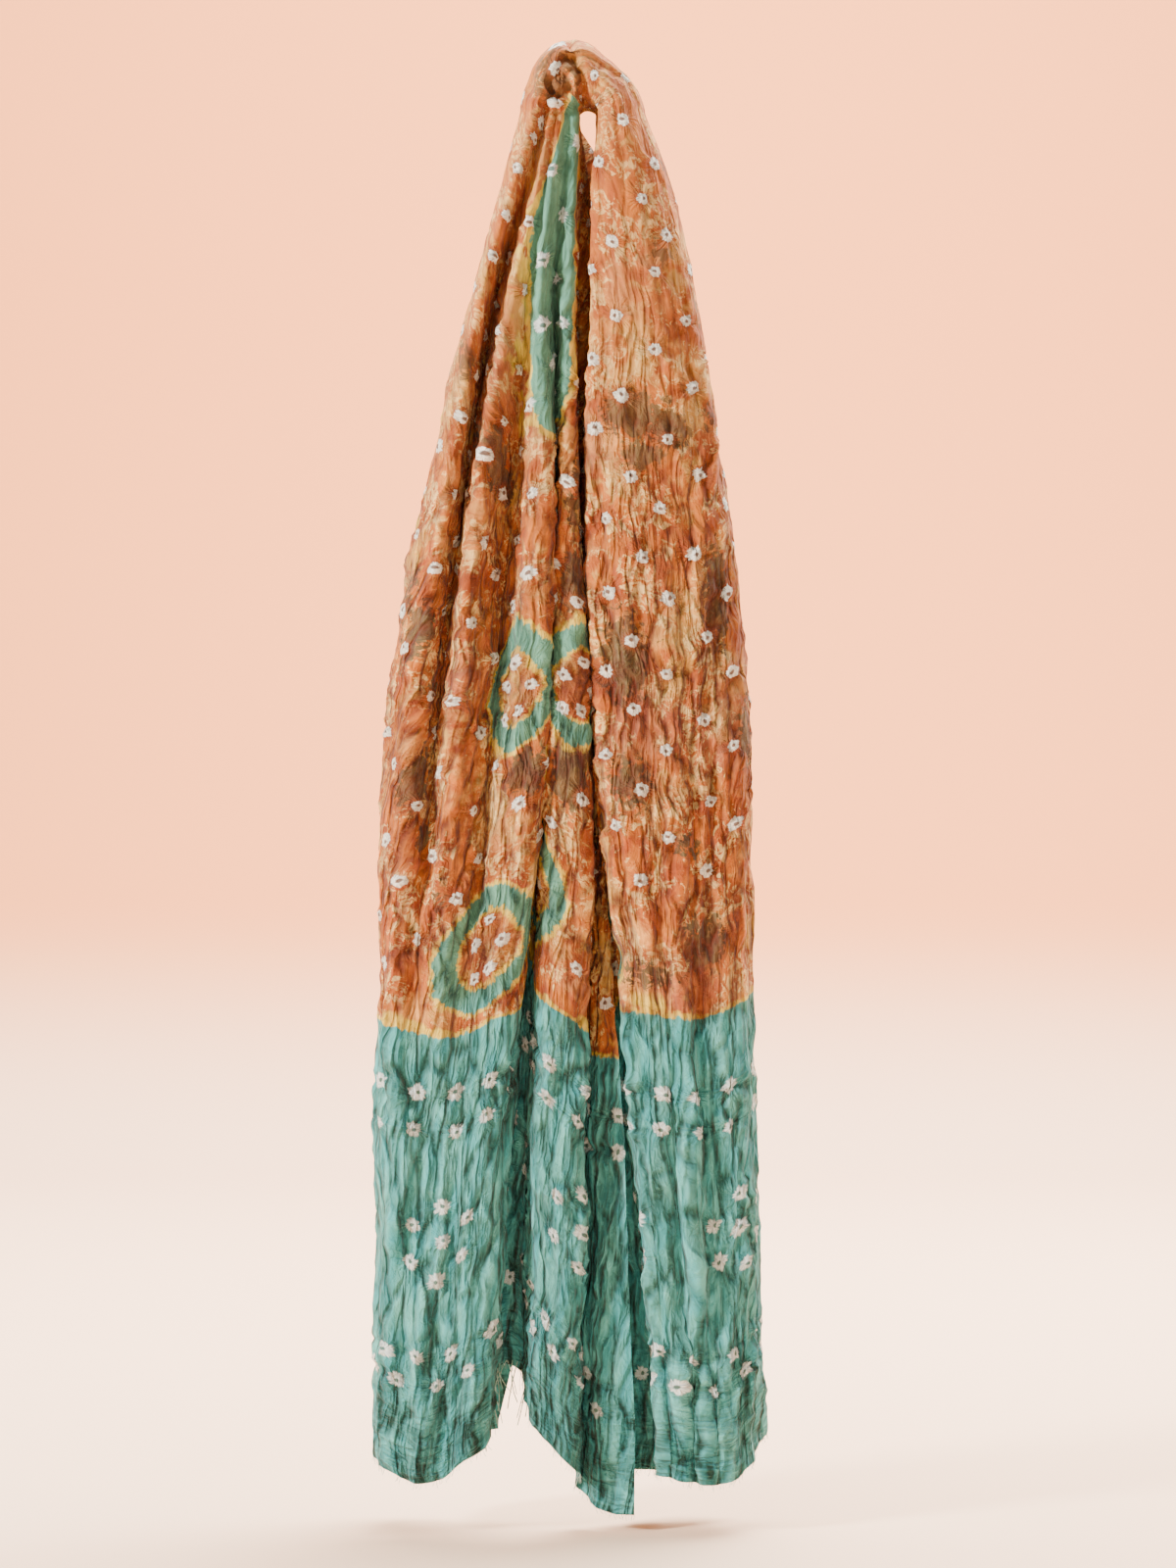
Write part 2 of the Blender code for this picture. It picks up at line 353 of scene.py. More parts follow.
# A lattice spot keeps off the spots near the peg by this much, and off a ring by this share of
# the ring's size
SPOT_CLEARANCE = 17 * MM
RING_CLEARANCE = 0.62
FAR_END_SHIFT = 9 * MM
SPOT_SEED = 11
random_spots = np.random.default_rng(SPOT_SEED)

# The rings at their places on the cloth, in metres, with their leaves' tips in radians
Ring = namedtuple("Ring", "across along wide tall tip")
rings = [
    Ring(*front_place(m.x, m.drop), m.wide * MM, m.tall * MM, math.radians(m.tip))
    for m in FRONT_MEDALLIONS
]
for m in HIDDEN_MEDALLIONS:
    centre = side_place(m.side, m.fold, m.drop)
    rings.append(Ring(*centre, HIDDEN_RING_WIDE, HIDDEN_RING_TALL, HIDDEN_RING_TIP))
crown_spots = [front_place(x, drop) for x, drop in CROWN_SPOTS]


def clear_of_rings(across, along):
    """Whether a spot of the field's lattice lies outside every medallion's ring."""
    return all(
        math.hypot((across - ring.across) / ring.wide, (along - ring.along) / ring.tall) > RING_CLEARANCE
        for ring in rings
    )


def field_spots():
    """The staggered lattice over the orange field, each spot a little off its place."""
    spots = []
    rows = int((CLOTH_LENGTH - sum(FIELD_STARTS.values())) / (FIELD_PITCH_ALONG * MM))
    for row in range(rows + 1):
        for number in range(-6, 10):
            shift = random_spots.uniform(-6, 6, 2)
            across = (number + (row % 2) / 2) * FIELD_PITCH_ACROSS + shift[0]
            along = FIELD_STARTS["left"] + (row * FIELD_PITCH_ALONG + shift[1]) * MM
            gaps = [math.dist((across * MM, along), own) for own in crown_spots]
            if clear_of_rings(across * MM, along) and min(gaps) >= SPOT_CLEARANCE:
                spots.append((across * MM, along))
    return spots


def end_spots():
    """The double rows and seven-spot flowers of both green ends, as (across, hem distance)."""
    spots = []
    for row, height in enumerate(ROW_HEIGHTS):
        for number in range(-9, 15):
            shift = random_spots.uniform(-3.5, 3.5, 2)
            across = (number + 0.5 * (row == 2)) * ROW_PITCH + shift[0]
            spots.append((across * MM, (height + shift[1]) * MM))
    for number in range(-2, 5):
        for x, y in FLOWER_SPOTS:
            shift = random_spots.uniform(-2, 2, 2)
            across = (number + 0.30) * FLOWER_PITCH + x + shift[0]
            spots.append((across * MM, (FLOWER_HEIGHT + y + shift[1]) * MM))
    return spots


spot_list = crown_spots + field_spots()
for ring in rings:
    for x, y in FIVE_SPOTS:
        spot_list.append((ring.across + x * MM, ring.along + y * MM))
for across, up in end_spots():
    spot_list.append((across, up))
    spot_list.append((across + FAR_END_SHIFT, CLOTH_LENGTH - up))
spots = np.array(spot_list)

spot_tree = kdtree.KDTree(len(spots))
for number, (across, along) in enumerate(spots):
    spot_tree.insert((across, along, 0), number)
spot_tree.balance()
spot_turns = random_spots.uniform(0, math.tau, len(spots))
spot_sizes = random_spots.uniform(0.85, 1.18, len(spots))
spot_phases = random_spots.uniform(0, math.tau, (len(spots), 3))


# The cloth's surface: the bent sheet with its crinkles. Crushed cotton keeps long pleats and
# creases down its length, gathers round each tied spot, and folds sharply along the spot rows
# and above the hems. They are pushed out of the smooth folds along the sheet's own normals.
# Crease: metres from crease to crease across and along the cloth, its lean, and its depth in the
# orange field and in the green ends
Crease = namedtuple("Crease", "across along lean orange green seed")
CREASES = (
    Crease(0.031, 0.230, 0.00, 2.8 * MM, 5.2 * MM, 0.7),
    Crease(0.016, 0.110, 0.05, 2.3 * MM, 2.2 * MM, 5.3),
    Crease(0.020, 0.060, 0.50, 1.4 * MM, 1.2 * MM, 9.9),
    Crease(0.020, 0.060, -0.45, 1.4 * MM, 1.2 * MM, 14.2),
)
WRINKLE_DEPTH = 1.6 * MM
ROW_CREASE_DEPTH = 2.4 * MM
KNOT_DEPTH = 2.8 * MM
KNOT_RADIUS = 4.5 * MM
PUCKER_DEPTH = 1.9 * MM
PUCKER_REACH = 24 * MM


def smoothstep(low, high, value):
    """0 below low, 1 above high, and smooth between them."""
    f = np.clip((value - low) / (high - low), 0, 1)
    return f * f * (3 - 2 * f)


def ridged(across, along, seed):
    """Creased noise in the range -1 to 1 with sharp ridges, for flat arrays of places."""
    values = [1 - 2.6 * abs(noise.noise(Vector((a, b, seed)))) for a, b in zip(across, along)]
    return np.array(values)


def soft(across, along, seed):
    """Plain soft noise in the range -1 to 1, for flat arrays of places."""
    return np.array([noise.noise(Vector((a, b, seed))) for a, b in zip(across, along)])


flat_across = across_grid.ravel()
flat_along = along_grid.ravel()
sway = soft(flat_across * 9, flat_along * 9, 3.1) * 0.30

# The top hangs tight and smooth, and the crinkles grow towards the hem
loose = 0.22 + 0.78 * smoothstep(0.08, 0.46, drop_grid)
room = 0.40 + 0.60 * smoothstep(0.0, 0.16, drop_grid)
green_end = 1 - smoothstep(0.34, 0.37, hem_distance)
along_hem = 1 - smoothstep(0.02, 0.11, hem_distance)

push = np.zeros(grid_shape)
for crease in CREASES:
    leaning = flat_across + crease.lean * flat_along
    running = flat_along - crease.lean * flat_across
    ridge = ridged(leaning / crease.across + sway * 3, running / crease.along, crease.seed)
    depth = crease.orange + (crease.green - crease.orange) * green_end
    push += ridge.reshape(grid_shape) * depth * loose
wrinkle = ridged(flat_across * 20 + 3, flat_along * 90 + sway * 5, 21.5).reshape(grid_shape)
push += WRINKLE_DEPTH * wrinkle * (0.15 + 0.85 * along_hem) * loose

# A sharp crease links the spots of each double row, with a low ridge to each side of it
row_wander = soft(flat_across * 30, flat_along * 3, 7.7).reshape(grid_shape) * 5 * MM
row_crease = np.zeros(grid_shape)
for height in ROW_HEIGHTS:
    off_row = (hem_distance - height * MM + row_wander) / (5 * MM)
    row_crease += (1 - 1.6 * off_row**2) * np.exp(-(off_row**2))
row_strength = 0.45 + 0.55 * soft(flat_across * 12, flat_along * 5, 2.2).reshape(grid_shape)
push -= ROW_CREASE_DEPTH * row_crease * row_strength

# Each point's nearest spot: the offset to it, and the gathers that run out from it, far along
# the cloth and less far across it
nearest = np.array([spot_tree.find((a, b, 0))[1] for a, b in zip(flat_across, flat_along)])
offset_across = (flat_across - spots[nearest, 0]).reshape(grid_shape)
offset_along = (flat_along - spots[nearest, 1]).reshape(grid_shape)
from_spot = np.hypot(offset_across, offset_along)
spot_angle = np.arctan2(offset_along, offset_across)
phase = spot_phases[nearest].reshape(*grid_shape, 3)
rays = (
    0.5 * np.cos(3 * spot_angle + phase[:, :, 0])
    + 0.7 * np.cos(4 * spot_angle + phase[:, :, 1])
    + 0.6 * np.cos(7 * spot_angle + phase[:, :, 2])
)
knot = np.exp(-((from_spot / KNOT_RADIUS) ** 2))
reached = np.hypot(offset_across, 0.6 * offset_along)
ring_fade = smoothstep(2.5 * MM, 6 * MM, from_spot) * (1 - smoothstep(5 * MM, PUCKER_REACH, reached))
by_outline = smoothstep(11.8, 12.6, place_grid)
push += (KNOT_DEPTH * knot + PUCKER_DEPTH * rays * ring_fade) * room * (1 - 0.6 * by_outline)

# Over the peg the left side's layers turn in a swirl, with a groove where the right side's
# roll starts. Places are mm right of the peg and above it.
SWIRL_CENTRE = (-22, 22)
SWIRL_PITCH = 12
SWIRL_REACH = 34
SWIRL_DEPTH = 2.4 * MM
GROOVE = ((-17, 64), (-13, 44), (-5, 26), (-2, 8))
GROOVE_DEPTH = 6.0 * MM
GROOVE_WIDTH = 3.2
in_front = smoothstep(-6 * MM, -20 * MM, plain_points[:, :, 1])
right_mm = plain_points[:, :, 0] / MM
above_mm = (plain_points[:, :, 2] + PEG_RADIUS) / MM
swirl_right, swirl_up = right_mm - SWIRL_CENTRE[0], above_mm - SWIRL_CENTRE[1]
swirl_radius = np.hypot(swirl_right, 0.8 * swirl_up)
swirl_turn = math.tau * swirl_radius / SWIRL_PITCH + np.arctan2(swirl_up, swirl_right)
swirl_fade = in_front * (1 - smoothstep(0.35 * SWIRL_REACH, SWIRL_REACH, swirl_radius))
push += SWIRL_DEPTH * np.cos(swirl_turn) * swirl_fade
groove_gap = np.full(grid_shape, np.inf)
for (x0, z0), (x1, z1) in zip(GROOVE, GROOVE[1:]):
    run, rise = x1 - x0, z1 - z0
    share = ((right_mm - x0) * run + (above_mm - z0) * rise) / (run**2 + rise**2)
    share = np.clip(share, 0, 1)
    gap = np.hypot(right_mm - x0 - share * run, above_mm - z0 - share * rise)
    groove_gap = np.minimum(groove_gap, gap)
push -= GROOVE_DEPTH * np.exp(-((groove_gap / GROOVE_WIDTH) ** 2)) * in_front
inside_side = 1 - smoothstep(13.3, 14.0, place_grid) * 0.45
edge = np.minimum(place_grid, len(COLUMNS_BY_FOLD) - place_grid)
push *= inside_side * (0.4 + 0.6 * smoothstep(0.0, 0.3, edge))

run_across = np.gradient(plain_points, axis=0)
run_along = np.gradient(plain_points, axis=1)
normals = np.cross(run_along, run_across)
normals /= np.linalg.norm(normals, axis=2, keepdims=True)
cloth_points = plain_points + normals * push[:, :, None]


# The sheet as a mesh, with maps that carry the dye: the cloth's own lengths, and for each face
# the way to its nearest spot. Attributes hold the distance to the green dye, the olive, how
# loosely the cloth hangs, its sideways wrinkles and the way round the nearest ring.
# A ring's way is known up to this many half sizes from its centre
RING_REACH = 1.9


def ring_offsets(ring):
    """Places from a ring's centre in half sizes: across, along, and how far out, 1 at its edge."""
    sideways = (across_grid - ring.across) / (ring.wide / 2)
    lengthways = (along_grid - ring.along) / (ring.tall / 2)
    lower = -1 if ring.along < MIDDLE else 1
    angle = np.arctan2(-lower * lengthways, sideways)
    off_tip = (angle - ring.tip + math.pi) % math.tau - math.pi
    leaf = 1 + LEAF_POINT * np.exp(-((off_tip / LEAF_SPREAD) ** 2))
    out = (abs(sideways) ** RING_POWER + abs(lengthways) ** RING_POWER) ** (1 / RING_POWER) / leaf
    return sideways, lengthways, out


def green_distance():
    """Metres from the edge of the green dye, below 0 inside it."""
    left_side = along_grid < MIDDLE
    border = np.where(left_side, BORDER_HEIGHTS["left"], BORDER_HEIGHTS["right"])
    distance = hem_distance - border
    for ring in rings:
        mean_radius = (ring.wide + ring.tall) / 4
        out = (ring_offsets(ring)[2] - 1) * mean_radius + RING_WIDTH / 2
        distance = np.minimum(distance, abs(out) - RING_WIDTH / 2)
    fallen = np.where(left_side, LEG_LENGTH - along_grid, along_grid - LEG_LENGTH - ARCH_LENGTH) / MM
    drops = [strip.drop for strip in VALLEY_GREEN]
    outer = np.interp(fallen, drops, [strip.outer for strip in VALLEY_GREEN])
    inner = np.interp(fallen, drops, [strip.inner for strip in VALLEY_GREEN])
    strip = np.maximum(place_grid - outer, inner - place_grid) * FOLD_PITCH
    strip = np.where(left_side & (fallen > drops[0]), strip, 1.0)
    distance = np.minimum(distance, strip)
    band = (abs(fallen - BACK_GREEN_DROP) - BACK_GREEN_HALF) * MM
    behind = (BACK_GREEN_FROM - place_grid) * FOLD_PITCH
    return np.minimum(distance, np.maximum(band, behind))


def ring_ways():
    """The way from the nearest ring's centre, as a vector that is long only near a ring."""
    ways = np.zeros((*grid_shape, 3))
    closest = np.full(grid_shape, RING_REACH)
    for ring in rings:
        sideways, lengthways, out = ring_offsets(ring)
        round_way = np.maximum(np.hypot(sideways, lengthways), 0.05)
        near = out < closest
        way = np.stack([sideways / round_way, lengthways / round_way, out * 0], axis=-1)
        ways[near] = (way * (1 - smoothstep(1.1, 1.5, out))[:, :, None])[near]
        closest = np.minimum(closest, out)
    return ways


def olive_strength():
    """How olive the orange field is, from 0 to 1, before its feathered edges."""
    places = [(*front_place(p.x, p.drop), p.wide, p.tall, p.strength) for p in FRONT_OLIVE]
    for p in BACK_OLIVE:
        places.append((*side_place(p.side, p.fold, p.drop), p.wide, p.tall, BACK_OLIVE_STRENGTH))
    olive = np.zeros(grid_shape)
    for across, along, wide, tall, strength in places:
        sideways = (across_grid - across) / (wide * MM)
        lengthways = (along_grid - along) / (tall * MM)
        spread = sideways**2 + lengthways**2
        olive = np.maximum(olive, strength * np.exp(-0.7 * spread))
    return olive * (1 + 0.35 * np.sin(swirl_turn) * swirl_fade)


columns, rows = grid_shape
number_grid = np.arange(columns * rows).reshape(grid_shape)
quads = np.stack(
    [number_grid[:-1, :-1], number_grid[:-1, 1:], number_grid[1:, 1:], number_grid[1:, :-1]],
    axis=-1,
).reshape(-1, 4)
cloth_mesh = bpy.data.meshes.new("bandhani_cloth_sheet")
cloth_mesh.vertices.add(columns * rows)
cloth_mesh.vertices.foreach_set("co", cloth_points.reshape(-1))
cloth_mesh.loops.add(quads.size)
cloth_mesh.loops.foreach_set("vertex_index", quads.reshape(-1).astype(np.int32))
cloth_mesh.polygons.add(len(quads))
cloth_mesh.polygons.foreach_set("loop_start", np.arange(0, quads.size, 4, dtype=np.int32))
cloth_mesh.polygons.foreach_set("use_smooth", np.ones(len(quads), bool))
cloth_mesh.update(calc_edges=True)
cloth_mesh.validate()

corner = quads.reshape(-1)
face_spot = np.repeat(nearest[quads[:, 0]], 4)
cloth_map = np.stack([flat_across[corner], flat_along[corner]], axis=-1)
way = cloth_map - spots[face_spot]
turn_cos, turn_sin = np.cos(spot_turns[face_spot]), np.sin(spot_turns[face_spot])
scale = 1 / (KNOT_RADIUS * spot_sizes[face_spot])
spot_map = np.stack(
    [
        (way[:, 0] * turn_cos - way[:, 1] * turn_sin) * scale,
        (way[:, 0] * turn_sin + way[:, 1] * turn_cos) * scale,
    ],
    axis=-1,
)
for name, values in (("cloth", cloth_map), ("spot", spot_map)):
    layer = cloth_mesh.uv_layers.new(name=name, do_init=False)
    layer.uv.foreach_set("vector", values.astype(np.float32).ravel())
point_values = (
    ("green_distance", green_distance()),
    ("olive", olive_strength()),
    ("looseness", loose),
    ("hem_wrinkles", np.clip(along_hem + 0.8 * np.clip(abs(row_crease), 0, 1), 0, 1)),
)
for name, values in point_values:
    layer = cloth_mesh.attributes.new(name, "FLOAT", "POINT")
    layer.data.foreach_set("value", values.astype(np.float32).ravel())
layer = cloth_mesh.attributes.new("ring_way", "FLOAT_VECTOR", "POINT")
layer.data.foreach_set("vector", ring_ways().astype(np.float32).ravel())

cloth = bpy.data.objects.new("bandhani_cloth_sheet", cloth_mesh)
bpy.context.collection.objects.link(cloth)


# The dyed cotton itself: burnt orange with pale crackle and olive patches, sage to teal green
# with yellow where the dyes meet, cream squares where the cloth was tied, and a fine plain weave.
class Wire:
    """A node's output. Arithmetic on it adds Math nodes, and Wire.node makes any other node."""

    tree = None

    def __init__(self, socket):
        self.socket = socket

    @classmethod
    def node(cls, kind, settings=None, inputs=None, output=0):
        made = cls.tree.nodes.new(kind)
        for name, value in (settings or {}).items():
            setattr(made, name, value)
        for name, value in (inputs or {}).items():
            cls.plug(made.inputs[name], value)
        return cls(made.outputs[output])

    @classmethod
    def plug(cls, target, value):
        if isinstance(value, Wire):
            cls.tree.links.new(value.socket, target)
        else:
            target.default_value = value

    def maths(self, operation, *others):
        return Wire.node("ShaderNodeMath", {"operation": operation}, dict(enumerate((self, *others))))

    def __add__(self, other):
        return self.maths("ADD", other)

    def __sub__(self, other):
        return self.maths("SUBTRACT", other)

    def __mul__(self, other):
        return self.maths("MULTIPLY", other)

    def __truediv__(self, other):
        return self.maths("DIVIDE", other)

    def __rsub__(self, other):
        return Wire.node("ShaderNodeMath", {"operation": "SUBTRACT"}, {0: other, 1: self})

    __radd__ = __add__
    __rmul__ = __mul__

    def between(self, low, high):
        """0 at low, 1 at high, smooth between them."""
        settings = {"interpolation_type": "SMOOTHSTEP", "clamp": True}
        ends = {"Value": self, "From Min": low, "From Max": high, "To Min": 0.0, "To Max": 1.0}
        return Wire.node("ShaderNodeMapRange", settings, ends)


def mixed(factor, first, second):
    """first where the factor is 0 and second where it is 1, as a colour."""
    inputs = {0: factor, 6: first, 7: second}
    return Wire.node("ShaderNodeMix", {"data_type": "RGBA"}, inputs, output=2)


def dye(red, green, blue):
    """A linear colour from the usual 0 to 255 values."""
    values = [value / 255 for value in (red, green, blue)]
    linear = [v / 12.92 if v <= 0.04045 else ((v + 0.055) / 1.055) ** 2.4 for v in values]
    return (*linear, 1.0)


def new_material(name):
    """A material with an empty tree that Wire then builds in; returns it with its shader."""
    material = bpy.data.materials.new(name)
    material.use_nodes = True
    Wire.tree = material.node_tree
    return material, material.node_tree.nodes["Principled BSDF"]


def stretched(vector, across, along):
    """The cloth's map scaled to a pattern's own pitch in each direction."""
    settings = {"vector_type": "TEXTURE"}
    scale = (1 / across, 1 / along, 1.0)
    return Wire.node("ShaderNodeMapping", settings, {"Vector": vector, "Scale": scale})


def cloudy(vector, scale, detail=2.0, roughness=0.5, distortion=0.0):
    """Soft noise from 0 to 1."""
    inputs = {
        "Vector": vector,
        "Scale": scale,
        "Detail": detail,
        "Roughness": roughness,
        "Distortion": distortion,
    }
    return Wire.node("ShaderNodeTexNoise", {}, inputs)


ORANGE = dye(212, 122, 46)
LIGHT_ORANGE = dye(230, 160, 82)
DEEP_ORANGE = dye(170, 80, 36)
# Painted shade colour for the tight upper part
UPPER_SHADE_ORANGE = dye(172, 102, 44)
GOLD = dye(224, 178, 94)
VEIN = dye(255, 216, 138)
MAUVE = dye(188, 116, 84)
OLIVE = dye(66, 58, 40)
OLIVE_LIGHT = dye(108, 92, 60)
SAGE = dye(106, 192, 184)
TEAL = dye(70, 164, 166)
DULL_SAGE = dye(112, 162, 128)
GREEN_SHADE = dye(50, 98, 84)
YELLOW = dye(246, 212, 84)
CREAM = dye(252, 246, 230)
KNOT_GREY = dye(176, 166, 150)
SPOT_HEART = dye(92, 50, 28)
COOL_CREAM = dye(228, 244, 244)
# Painted shade colours for the creases
ORANGE_CREASE_SHADE = dye(92, 36, 20)
GREEN_CREASE_SHADE = dye(24, 62, 54)

cotton, shader = new_material("dyed_cotton_crinkled")
cloth_uv = Wire.node("ShaderNodeUVMap", {"uv_map": "cloth"})
spot_uv = Wire.node("ShaderNodeUVMap", {"uv_map": "spot"})
edge_distance = Wire.node("ShaderNodeAttribute", {"attribute_name": "green_distance"}, output=2)
olive_field = Wire.node("ShaderNodeAttribute", {"attribute_name": "olive"}, output=2)
looseness = Wire.node("ShaderNodeAttribute", {"attribute_name": "looseness"}, output=2)
hem_wrinkles = Wire.node("ShaderNodeAttribute", {"attribute_name": "hem_wrinkles"}, output=2)
ring_way = Wire.node("ShaderNodeAttribute", {"attribute_name": "ring_way"}, output=1)
near_ring = Wire.node("ShaderNodeVectorMath", {"operation": "LENGTH"}, {0: ring_way}, output=1)

# Creases finer than the mesh: long ones down the cloth, small ones every way, sideways ones by
# the hems and spot rows, and strokes that run out from the rings
wander = Wire.node("ShaderNodeTexNoise", {}, {"Vector": cloth_uv, "Scale": 14.0}, output=1)
wander = Wire.node("ShaderNodeVectorMath", {"operation": "SCALE"}, {0: wander, 3: 0.020})
warped = Wire.node("ShaderNodeVectorMath", {"operation": "ADD"}, {0: cloth_uv, 1: wander})
facet_inputs = {"Vector": stretched(warped, 1.0, 0.26), "Scale": 70.0}
facet = Wire.node("ShaderNodeTexVoronoi", {"feature": "DISTANCE_TO_EDGE"}, facet_inputs)
facet = facet.between(0.0, 0.15)
long_noise = cloudy(stretched(warped, 1.0, 0.14), 80.0, 3.0, 0.5, 0.15)
long_crease = (long_noise - 0.5).maths("ABSOLUTE").between(0.0, 0.10)
small_noise = cloudy(stretched(cloth_uv, 1.0, 0.45), 150.0, 3.0, 0.6, 0.9)
small_crease = (small_noise - 0.5).maths("ABSOLUTE").between(0.0, 0.12)
side_noise = cloudy(stretched(cloth_uv, 0.30, 1.0), 130.0, 3.0, 0.55, 0.6)
side_crease = (side_noise - 0.5).maths("ABSOLUTE").between(0.0, 0.14)
ring_strokes = cloudy(ring_way, 17.0, 3.0, 0.6)

# Orange field
broad = cloudy(cloth_uv, 15.0, 3.0, 0.6)
mottle = cloudy(stretched(cloth_uv, 1.0, 0.6), 70.0, 4.0, 0.6, 0.6)
feather = cloudy(cloth_uv, 95.0, 5.0, 0.65, 1.0)
orange = mixed(mottle.between(0.35, 0.66), DEEP_ORANGE, ORANGE)
orange = mixed((broad + (feather - 0.5) * 0.35).between(0.50, 0.66), orange, LIGHT_ORANGE)
gold_cloud = cloudy(stretched(cloth_uv, 1.0, 0.7), 21.0, 3.0, 0.55, 0.3)
orange = mixed((gold_cloud + (feather - 0.5) * 0.45).between(0.56, 0.66) * 0.75, orange, GOLD)
orange = mixed(cloudy(cloth_uv, 9.0, 2.0, 0.5, 0.4).between(0.54, 0.68) * 0.45, orange, MAUVE)
speck = cloudy(stretched(cloth_uv, 1.0, 0.8), 120.0, 5.0, 0.72, 1.6)
speck_patch = cloudy(cloth_uv, 26.0, 2.0, 0.5).between(0.40, 0.58)
orange = mixed((speck + speck_patch * 0.15).between(0.62, 0.70) * 0.85, orange, VEIN)
olive_mask = (olive_field + (feather - 0.5) * 1.5 + (speck - 0.5) * 1.3).between(0.46, 0.53)
stray_olive = (cloudy(cloth_uv, 13.0, 2.0) + (feather - 0.5) * 0.5).between(0.69, 0.75)
olive_tone = mixed(mottle.between(0.4, 0.62), OLIVE, OLIVE_LIGHT)
olive_mask = olive_mask.maths("MAXIMUM", stray_olive * 0.8)
orange = mixed(olive_mask * 0.9, orange, olive_tone)
# Painted shade: the tight upper part, at the crown and shoulders, is painted a darker orange
orange = mixed((1 - looseness) * 0.35, orange, UPPER_SHADE_ORANGE)

# Green ends and rings, with yellow where the two dyes meet, widest in patches by the valley
map_parts = Wire.node("ShaderNodeSeparateXYZ", {}, {"Vector": cloth_uv})
map_along = Wire(map_parts.socket.node.outputs[1])
from_hem = map_along.maths("MINIMUM", CLOTH_LENGTH - map_along)
ragged = edge_distance + (cloudy(cloth_uv, 55.0, 3.0, 0.6) - 0.5) * 0.011
ragged = ragged + (cloudy(stretched(cloth_uv, 2.4, 1.0), 110.0, 3.0, 0.6) - 0.5) * 0.008
ragged = ragged + (ring_strokes - 0.5) * near_ring * 0.008
green_mask = 1 - ragged.between(-0.0010, 0.0006)
yellow_reach = cloudy(cloth_uv, 24.0, 2.0).between(0.50, 0.66) * (0.016 - near_ring * 0.012)
by_valley = cloudy(cloth_uv, 30.0, 2.0).between(0.46, 0.56) * from_hem.between(0.80, 0.86)
yellow_reach = yellow_reach + by_valley * 0.012 + 0.0036
yellow_mask = 1 - (ragged / yellow_reach).between(0.45, 1.1)
streak = cloudy(stretched(cloth_uv, 6.0, 1.0), 18.0, 3.0, 0.55)
green = mixed(streak.between(0.35, 0.65), TEAL, SAGE)
green = mixed(from_hem.between(0.36, 0.40) * 0.8, green, DULL_SAGE)
green = mixed(cloudy(cloth_uv, 40.0, 4.0, 0.6).between(0.50, 0.72) * 0.34, green, GREEN_SHADE)
green = mixed(ring_strokes.between(0.56, 0.66) * near_ring * 0.6, green, GREEN_SHADE)
colour = mixed(yellow_mask * 0.92, orange, YELLOW)
colour = mixed(green_mask, colour, green)

# Painted shade: the creases are painted darker, towards a dark orange or a dark green, less so where the
# cloth hangs tight
crease_painted_shade = (1 - long_crease) * 0.46 + (1 - small_crease) * 0.16 + (1 - facet) * 0.36
crease_painted_shade = crease_painted_shade + (1 - side_crease) * hem_wrinkles * 0.28
crease_painted_shade = crease_painted_shade * (0.35 + looseness * 0.65)
crease_shade_colour = mixed(green_mask, ORANGE_CREASE_SHADE, GREEN_CREASE_SHADE)
colour = mixed(crease_painted_shade, colour, crease_shade_colour)

# Tied spots: ragged cream petals drawn in to a small dark heart. spot_way turns round the spot.
spot_length = Wire.node("ShaderNodeVectorMath", {"operation": "LENGTH"}, {0: spot_uv}, output=1)
spot_way = Wire.node("ShaderNodeVectorMath", {"operation": "NORMALIZE"}, {0: spot_uv})
slow_place = Wire.node("ShaderNodeVectorMath", {"operation": "SCALE"}, {0: cloth_uv, 3: 21.0})
petal_place = Wire.node("ShaderNodeVectorMath", {"operation": "ADD"}, {0: spot_way, 1: slow_place})
petals = cloudy(petal_place, 2.1, 2.0, 0.55)
spot_parts = Wire.node("ShaderNodeSeparateXYZ", {}, {"Vector": spot_uv})
spot_x = spot_parts
spot_y = Wire(spot_parts.socket.node.outputs[1])
squareness = spot_x.maths("ABSOLUTE").maths("POWER", 2.6) + spot_y.maths("ABSOLUTE").maths("POWER", 2.6)
spot_reach = squareness.maths("POWER", 1 / 2.6) + (petals - 0.5) * (1.1 + green_mask * 0.6)
spot_reach = spot_reach + (cloudy(cloth_uv, 420.0, 2.0, 0.6) - 0.5) * 0.35
spot_mask = 1 - spot_reach.between(0.96, 1.16 + green_mask * 0.25)
strokes = cloudy(petal_place, 6.5, 2.0, 0.6).between(0.48, 0.62)
heart_x = spot_x - 0.14
heart_y = spot_y + 0.17
heart_reach = (heart_x * heart_x + heart_y * heart_y * 0.6).maths("SQRT")
heart_reach = heart_reach + (cloudy(cloth_uv, 500.0, 2.0) - 0.5) * 0.45
heart_mask = 1 - heart_reach.between(0.22, 0.42)
heart = mixed(green_mask, SPOT_HEART, GREEN_SHADE)
halo = (1 - spot_reach.between(1.1, 2.2)) * (1 - green_mask) * 0.45
colour = mixed(halo, colour, DEEP_ORANGE)
petal_colour = mixed(strokes * 0.55, mixed(green_mask * 0.8, CREAM, COOL_CREAM), KNOT_GREY)
colour = mixed(spot_mask, colour, petal_colour)
colour = mixed(spot_mask * heart_mask * 0.9, colour, heart)
Wire.plug(shader.inputs["Base Color"], colour)
rough = 0.80 + cloudy(cloth_uv, 120.0, 2.0) * 0.14
Wire.plug(shader.inputs["Roughness"], rough)
shader.inputs["Sheen Weight"].default_value = 0.08
shader.inputs["Specular IOR Level"].default_value = 0.25

